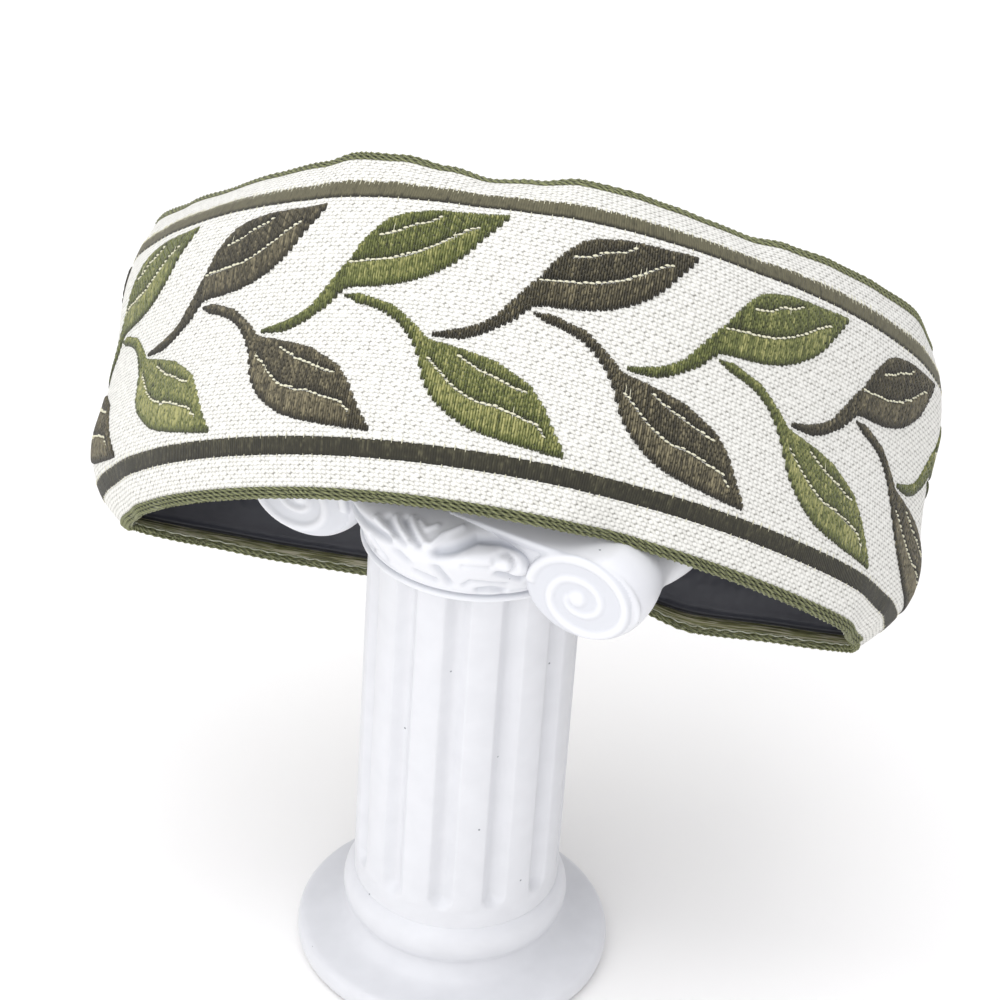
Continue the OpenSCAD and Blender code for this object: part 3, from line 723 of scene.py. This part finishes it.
# Satin thread: softly shiny along its fibres, with painted shade where it is bound and painted light
# on top. Its real fibres are too fine to show, so streaks 0.2 mm wide and 0.8 mm long are drawn in their
# place.
FIBRE_WIDE, FIBRE_LONG, FIBRE_LOWER = 0.2, 0.8, 0.02


def satin_material(name, dark, middle, light, roughness, sheen, streak):
    """Satin thread whose colour follows its tone and its streaks."""
    made, tree, shader = new_material(
        name, middle, roughness, Sheen_Weight=sheen, Sheen_Roughness=0.35)
    tone = add_node(tree, "ShaderNodeAttribute", attribute_name="tone").outputs["Fac"]
    cloth = add_node(tree, "ShaderNodeUVMap", uv_map="cloth").outputs["UV"]
    drawn = add_node(tree, "ShaderNodeMapping", {
        "Vector": cloth, "Scale": (1 / (FIBRE_WIDE * MM), 1 / (FIBRE_LONG * MM), 1.0)})
    fibre = add_node(tree, "ShaderNodeTexNoise", {
        "Vector": drawn.outputs["Vector"], "Scale": 1.0, "Detail": 2.0}).outputs["Fac"]
    mixed = add_node(tree, "ShaderNodeMath", {0: fibre, 1: streak, 2: tone}, operation="MULTIPLY_ADD")
    lowered = add_node(tree, "ShaderNodeMath", {
        0: mixed.outputs[0], 1: streak / 2 + FIBRE_LOWER}, operation="SUBTRACT")
    ramp = add_node(tree, "ShaderNodeValToRGB", {"Fac": lowered.outputs[0]},
                    stops=[(0.0, dark), (0.5, middle), (1.0, light)])
    tree.links.new(ramp.outputs["Color"], shader.inputs["Base Color"])
    bump = add_node(tree, "ShaderNodeBump", {"Height": fibre, "Strength": 0.5, "Distance": 0.1 * MM})
    tree.links.new(bump.outputs["Normal"], shader.inputs["Normal"])
    return made


# Brown line satin: dull and nearly black-brown, with fine paler streaks.
stripe_satin = satin_material("brown_line_satin", "18160E", "302E1F", "66624A", 0.7, 0.08, 0.6)
strands = []
for low, high in (STRIPE, (BAND_W - STRIPE[1], BAND_W - STRIPE[0])):
    for number, s in enumerate(np.arange(-HALF_RING, HALF_RING, FLOAT_PITCH)):
        low_end, high_end = (low, high) + draws.normal(0, END_UNEVEN, 2)
        upper = low > BAND_W / 2
        if upper:
            high_end += draws.uniform(0, TOOTH)
        tone = np.clip(draws.normal(STRIPE_TONES[upper], TONE_UNEVEN), 0.1, 1)
        strands.append((s, low_end, high_end, [], tone, number % 2 * 2 - 1))
points, faces, tones, places = satin_floats(strands, STRIPE_RISE, STRIPE_END, STRIPE_FLAT)
stripes = new_piece("brown_lines", points, faces, [stripe_satin], ["stripes"])
give_tone(stripes, tones)
give_places(stripes, places)

# Leaves: each repeat has an upper and a lower leaf on a curved stalk, all in satin threads that
# cross the ribbon and end in small steps, two threads to a step. Olive and brown pairs take turns.
# Fine cream ties part the satin along the veins.
LEAF_PITCH, LEAF_SHIFT = 31.05, 3.2
LEAF_RISE, LEAF_END, LEAF_FLAT = 0.36, 0.7, 0.24  # height and round end in mm, half flat top
STEP_LOW, STEP_HIGH, EDGE_UNEVEN = 0.85, 0.5, 0.05  # share of each edge that is stepped, and mm
THIN_STALK, LOBE_MIN, VEIN_HALF = 0.5, 0.25, 0.04  # mm
BOUND_EVERY, BOUND_EVERY_SMOOTH, BOUND_IN = 1.5, 3.4, 0.45  # mm between two places, and from an end
# The smooth lobe's long floats are painted lighter than the other lobes, as painted sheen.
LOBE_TONE, SMOOTH_TONE, STREAK_UNEVEN, LOBE_UNEVEN = 0.45, 0.57, 0.07, 0.06
# Painted light: the lower leaves are painted a little lighter, for the sheen that the light gives them.
UPPER_PAINTED_LIGHT, LOWER_PAINTED_LIGHT = 0.02, 0.12  # the lower leaves are a little lighter
UPPER_LEAF = [  # place along the ribbon, lower edge, upper edge, in mm
    (-30.3, 27.4, 28.2), (-28, 27.3, 28.8), (-25.5, 27.4, 29.5), (-23, 28.3, 30.6), (-21, 29.5, 32),
    (-19.5, 30.5, 34), (-18, 31.5, 35.9), (-16.5, 33.2, 38), (-15.2, 34.4, 39.3), (-13.5, 34.7, 42.2),
    (-11.5, 34.8, 44.6), (-9.5, 35, 46.5), (-7, 35.3, 47.6), (-3.5, 36.2, 48.3), (-0.5, 37.5, 48.6),
    (2.5, 39.5, 48.7), (4.5, 41.4, 48.8), (6.5, 44.2, 48.9), (8.3, 46.4, 49.1), (9.7, 48.5, 49.2)]
LOWER_LEAF = [
    (-15, 33.2, 33.6), (-12.5, 32, 33.9), (-10.5, 31.6, 33.4), (-8.5, 31, 32.8), (-6.5, 30.1, 32.3),
    (-4.5, 28.7, 31), (-2.5, 26.5, 29.5), (-0.9, 24, 28.2), (0, 21.8, 27.3), (1.1, 19.2, 26.9),
    (3, 16.8, 26.6), (5.5, 14.8, 26.1), (8.5, 13.2, 25.5), (11.5, 12.4, 24.8), (14.5, 11.9, 23.3),
    (17.5, 11.5, 21.7), (20, 11.25, 18.7), (22.5, 11, 14.6), (24.5, 10.9, 11.8)]
UPPER_VEINS = [
    [(-15.2, 38.8), (-12, 39.2), (-8.5, 39.6), (-5.5, 40.2), (-3.5, 40.9), (-1.5, 41.9), (0.5, 43.1),
     (2.5, 44.5), (4.5, 45.7), (5.3, 45.9)],
    [(-10.5, 43.4), (-7.5, 44.1), (-5.5, 45.3), (-2.5, 46.2), (-0.7, 47.4)]]
LOWER_VEINS = [
    [(0.8, 23.8), (2.5, 22.4), (4.5, 20.4), (6.5, 18.9), (8.5, 17.9), (10.5, 17.3), (12.5, 17.2),
     (15.5, 16.4), (19.3, 15.4), (21, 13.6)],
    [(5.5, 24.8), (7.5, 23.7), (9.5, 22.7), (12.5, 21.7), (15.5, 20.5), (17.3, 20.3)]]


def leaf_strands(outline, veins, at, painted_light):
    """Satin threads of one leaf and its stalk, cut where a vein crosses them."""
    where, low_edge, high_edge = zip(*outline)
    strands = []
    first = math.ceil((where[0] + at) / FLOAT_PITCH)
    last = math.floor((where[-1] + at) / FLOAT_PITCH)
    for number in range(first, last + 1):
        s = number * FLOAT_PITCH
        if abs(s) > HALF_RING - 0.3:
            continue
        pair = (number // 2 * 2 + 0.5) * FLOAT_PITCH - at
        low, low_here = np.interp([pair, s - at], where, low_edge)
        high, high_here = np.interp([pair, s - at], where, high_edge)
        low = STEP_LOW * low + (1 - STEP_LOW) * low_here
        high = STEP_HIGH * high + (1 - STEP_HIGH) * high_here
        low, high = (low, high) + draws.normal(0, EDGE_UNEVEN, 2)
        if high - low < THIN_STALK:
            middle = (low + high) / 2
            low, high = middle - 0.3, middle + 0.3
        cuts = [np.interp(s - at, *zip(*vein)) for vein in veins if vein[0][0] <= s - at <= vein[-1][0]]
        ends = [low]
        for cut in sorted(cuts):
            if low + THIN_STALK < cut < high - THIN_STALK:
                ends += [cut - VEIN_HALF, cut + VEIN_HALF]
        ends.append(high)
        lobes = list(zip(ends[::2], ends[1::2]))
        streak = draws.normal(0, STREAK_UNEVEN)
        for place, (a, b) in enumerate(lobes):
            if b - a < LOBE_MIN:
                continue
            smooth_lobe = place == 0 and len(lobes) > 1
            every = BOUND_EVERY_SMOOTH if smooth_lobe else BOUND_EVERY
            start = a + every * ((number * 3) % 5 + 0.5 + draws.uniform(-0.3, 0.3)) / 5
            bound = [x for x in np.arange(start, b, every) if a + BOUND_IN < x < b - BOUND_IN]
            tone = SMOOTH_TONE if smooth_lobe else LOBE_TONE
            tone += painted_light + streak + draws.normal(0, LOBE_UNEVEN)
            strands.append((s, a, b, bound, min(max(tone, 0.05), 1), number % 2 * 2 - 1))
    return strands


# Leaf satins: olive green and dark brown, each with paler streaks that catch the light.
leaf_satins = {
    "green": satin_material("olive_leaf_satin", "272A11", "636A34", "AFAC6E", 0.55, 0.25, 1.2),
    "brown": satin_material("brown_leaf_satin", "18160D", "45402E", "8B8265", 0.55, 0.12, 1.2)}
vein_runs = []
for colour, first in (("green", -2), ("brown", -3)):
    strands = []
    for number in range(first, 9, 2):
        at = (number - 2.5) * LEAF_PITCH + LEAF_SHIFT
        strands += leaf_strands(UPPER_LEAF, UPPER_VEINS, at, UPPER_PAINTED_LIGHT)
        strands += leaf_strands(LOWER_LEAF, LOWER_VEINS, at, LOWER_PAINTED_LIGHT)
        vein_runs += [[(s + at, v) for s, v in vein] for vein in UPPER_VEINS + LOWER_VEINS]
    points, faces, tones, places = satin_floats(strands, LEAF_RISE, LEAF_END, LEAF_FLAT)
    leaves = new_piece(f"{colour}_leaf_satin", points, faces, [leaf_satins[colour]],
                       [f"{colour}_leaves"])
    give_tone(leaves, tones)
    give_places(leaves, places)

# Vein ties: short cream threads that lie one after another along each vein and hold the satin
# down. Here and there a fine cream thread of the ground gleams across them, and its tips break
# the brown lines' edges.
TIE_LONG, TIE_WIDE, TIE_STEP, TIE_SINK = 1.1, 0.38, 0.98, 0.12
TIE_LEAN, TIE_UNEVEN = 0.4, 0.1  # share of the vein's slope that a tie takes, mm
SLOPE_REACH = 0.45
GLEAM_SHARE, GLEAM_WIDE = 0.035, 0.12
TIP_STEP = 4 * FLOAT_PITCH
TIP_ROWS = [  # height of the line's edge, step along, least and most length of a tip, in mm
    (STRIPE[0], TIP_STEP, 0.2, 0.9), (STRIPE[1], TIP_STEP, 0.3, 1.6),
    (BAND_W - STRIPE[1], TIP_STEP, 0.2, 0.9), (BAND_W - STRIPE[0], TIP_STEP / 2, 0.4, 2.4)]

# Tie cotton: matt cream thread, unevenly paler and darker as spun cotton is.
PLY_LONG = 0.3  # mm
tie_cotton, tree, shader = new_material("cream_tie_cotton", "EFEBD8", 0.75, Sheen_Weight=0.2)
fibre = add_node(tree, "ShaderNodeTexNoise", {
    "Vector": add_node(tree, "ShaderNodeTexCoord").outputs["Object"], "Scale": 1 / (PLY_LONG * MM)})
ramp = add_node(tree, "ShaderNodeValToRGB", {"Fac": fibre.outputs["Fac"]},
                stops=[(0.0, "C2BD98"), (1.0, "FAF8E2")])
tree.links.new(ramp.outputs["Color"], shader.inputs["Base Color"])


def stitch_piece(name, rows, rings, sides):
    """Short rounded threads that lie on the ribbon. Each row holds a thread's middle along and
    across, length, width, slope in degrees, depth of its middle and how far its ends sink."""
    s, v, length, width, slope, depth, sink = (column[:, None] for column in np.array(rows).T)
    turn, side = np.meshgrid(
        np.linspace(0, math.pi, rings), np.arange(sides) * 2 * math.pi / sides, indexing="ij")
    ahead, aside = np.cos(turn).ravel(), (np.sin(turn) * np.cos(side)).ravel()
    lift = (np.sin(turn) * np.sin(side)).ravel()
    slope = np.radians(slope)
    part_s = s + (ahead * length * np.cos(slope) - aside * width * np.sin(slope)) / 2
    part_v = v + (ahead * length * np.sin(slope) + aside * width * np.cos(slope)) / 2
    points = on_band(part_s, part_v, depth + sink * ahead ** 2 - lift * width * 0.4).reshape(-1, 3)
    starts = np.arange(len(rows))[:, None, None] * rings * sides
    faces = (starts + grid_faces(rings, sides, True)[None]).reshape(-1, 4)
    return new_piece(name, points, faces, [tie_cotton])


ties, gleams = [], []
for run in vein_runs:
    where, height = np.array(run).T
    far = np.concatenate([[0], np.cumsum(np.hypot(np.diff(where), np.diff(height)))])
    for way in np.arange(0.4, far[-1], TIE_STEP):
        middle = np.interp(way, far, where)
        if abs(middle) > HALF_RING - 1.5:
            continue
        ahead, behind = np.interp([middle + SLOPE_REACH, middle - SLOPE_REACH], where, height)
        slope = math.atan((ahead - behind) / (2 * SLOPE_REACH))
        level = np.interp(way, far, height) + draws.normal(0, TIE_UNEVEN)
        length = TIE_LONG * (0.4 + 0.6 * math.cos(slope)) * draws.uniform(0.7, 1.0)
        width = TIE_WIDE * draws.uniform(0.8, 1.3)
        depth = draws.uniform(-0.33, -0.22)
        lean = math.degrees(slope) * TIE_LEAN
        ties.append((middle, level, length, width, lean, depth, TIE_SINK))
        if draws.random() < GLEAM_SHARE:
            level += draws.uniform(-0.3, 0.7)
            length = draws.uniform(1.3, 2.6)
            gleams.append((middle, level, length, GLEAM_WIDE, 90, -0.4, TIE_SINK))
for edge, step, shortest, longest in TIP_ROWS:
    for s in np.arange(TIP_STEP - HALF_RING, HALF_RING - 1, step):
        length, width = draws.uniform(shortest, longest), draws.uniform(0.1, 0.2)
        gleams.append((s, edge, length, width, 90, -0.1, 0.08))
stitch_piece("vein_ties", ties, 5, 5)
stitch_piece("cream_gleams", gleams, 4, 4)

# Back seam: it isn't seen in the photo, so the two ends simply meet there, and a row of cream
# cotton stitches runs down each side of the joint.
SEAM_IN, SEAM_STEP, SEAM_LONG, SEAM_WIDE = 2.0, 2.9, 2.2, 0.3
seam = [(side * (HALF_RING - SEAM_IN), v, SEAM_LONG, SEAM_WIDE, 90, -0.34, 0.35)
        for side in (-1, 1) for v in np.arange(3.0, BAND_W - 2, SEAM_STEP)]
stitch_piece("back_seam", seam, 6, 6)

# Sewing thread: a fine clear nylon thread runs in small waves along both edges on the inner side
# and holds ribbon and lining together. It is glossy, and takes more or less of the olive round it
# from stitch to stitch.
SEWN_IN, SEWN_DEPTH, NYLON_R, STITCH_LONG = 0.35, 1.12, 0.11, 2.4  # mm
SEWN_TWIST, SEWN_STEP, SEWN_SIDES, SEWN_SWAY = 9.0, 0.4, 5, 0.28
nylon, tree, shader = new_material("clear_nylon_thread", "B9BCA6", 0.35, IOR=1.53)
stitches = add_node(tree, "ShaderNodeTexNoise", {
    "Vector": add_node(tree, "ShaderNodeTexCoord").outputs["Object"], "Scale": 1 / (STITCH_LONG * MM)})
ramp = add_node(tree, "ShaderNodeValToRGB", {"Fac": stitches.outputs["Fac"]},
                stops=[(0.35, "A3A78B"), (0.65, "C9CBB9")])
tree.links.new(ramp.outputs["Color"], shader.inputs["Base Color"])
sewn = [cord_round_ring(v, SEWN_DEPTH, NYLON_R, NYLON_R, SEWN_TWIST, SEWN_STEP, SEWN_SIDES,
                        SEWN_SWAY, STITCH_LONG) for v in (SEWN_IN, BAND_W - SEWN_IN)]
points = np.concatenate([s[0] for s in sewn])
faces = np.concatenate([sewn[0][1], sewn[1][1] + len(sewn[0][0])])
new_piece("sewing_thread", points, faces, [nylon])

# Floor: a plain sheet of pale matt paper that the stand rests on. It is far larger than the
# picture, so no edge of it shows.
FLOOR_CORNERS, FLOOR_LEVEL = ((-4, -4), (4, -4), (4, 6), (-4, 6)), -0.0003  # metres
floor_mesh = bpy.data.meshes.new("floor")
floor_mesh.from_pydata([(x, y, FLOOR_LEVEL) for x, y in FLOOR_CORNERS], [], [(0, 1, 2, 3)])
floor = bpy.data.objects.new("floor", floor_mesh)
scene.collection.objects.link(floor)
paper = new_material("pale_paper", "FDFCFA", 0.9)[0]
floor_mesh.materials.append(paper)

# Studio light: a broad soft light high above and a little to the left, a weaker one in front on
# the left, a faint one low on the left, as a pale table throws back, and pale air all round.
LIGHT_AIM = Vector((0, 0, 0.09))
LIGHTS = [  # name, place in metres, width in metres, power in watts
    ("top", (-0.17, 0.0, 1.0), 1.2, 5.9),
    ("front", (-0.3, -0.76, 0.42), 0.8, 2.2),
    ("low", (-0.6, -0.3, 0.08), 0.5, 0.4)]
world = bpy.data.worlds.new("pale_air")
world.use_nodes = True
world.node_tree.nodes["Background"].inputs["Color"].default_value = linear("FAFAFF")
world.node_tree.nodes["Background"].inputs["Strength"].default_value = 0.78
scene.world = world
for name, spot, size, power in LIGHTS:
    lamp = bpy.data.lights.new(name, "AREA")
    lamp.size = size
    lamp.energy = power
    light = bpy.data.objects.new(name, lamp)
    light.location = spot
    light.rotation_euler = (LIGHT_AIM - Vector(spot)).to_track_quat("-Z", "Y").to_euler()
    scene.collection.objects.link(light)

# Camera: half a metre from the front of the band and above it, with a long lens. It looks down on
# the band with a slight lean to the left, and the picture keeps its colours as they are.
LOOK_DOWN, CAMERA_LEAN = math.radians(33.5), math.radians(4.0)
CAMERA_PLACE = (0.0032, -0.45755, 0.39405)
scene.view_settings.view_transform = "Standard"
ahead = Vector((0, math.cos(LOOK_DOWN), -math.sin(LOOK_DOWN)))
right = Vector((math.cos(CAMERA_LEAN), math.sin(CAMERA_LEAN) * math.sin(LOOK_DOWN),
                math.sin(CAMERA_LEAN) * math.cos(LOOK_DOWN)))
above = right.cross(ahead)
lens = bpy.data.cameras.new("camera")
lens.lens = 122.7
lens.sensor_width = 36.0
lens.clip_start = 0.01
camera = bpy.data.objects.new("camera", lens)
turn = Matrix((right, above, -ahead)).transposed().to_4x4()
camera.matrix_world = Matrix.Translation(CAMERA_PLACE) @ turn
scene.collection.objects.link(camera)
scene.camera = camera
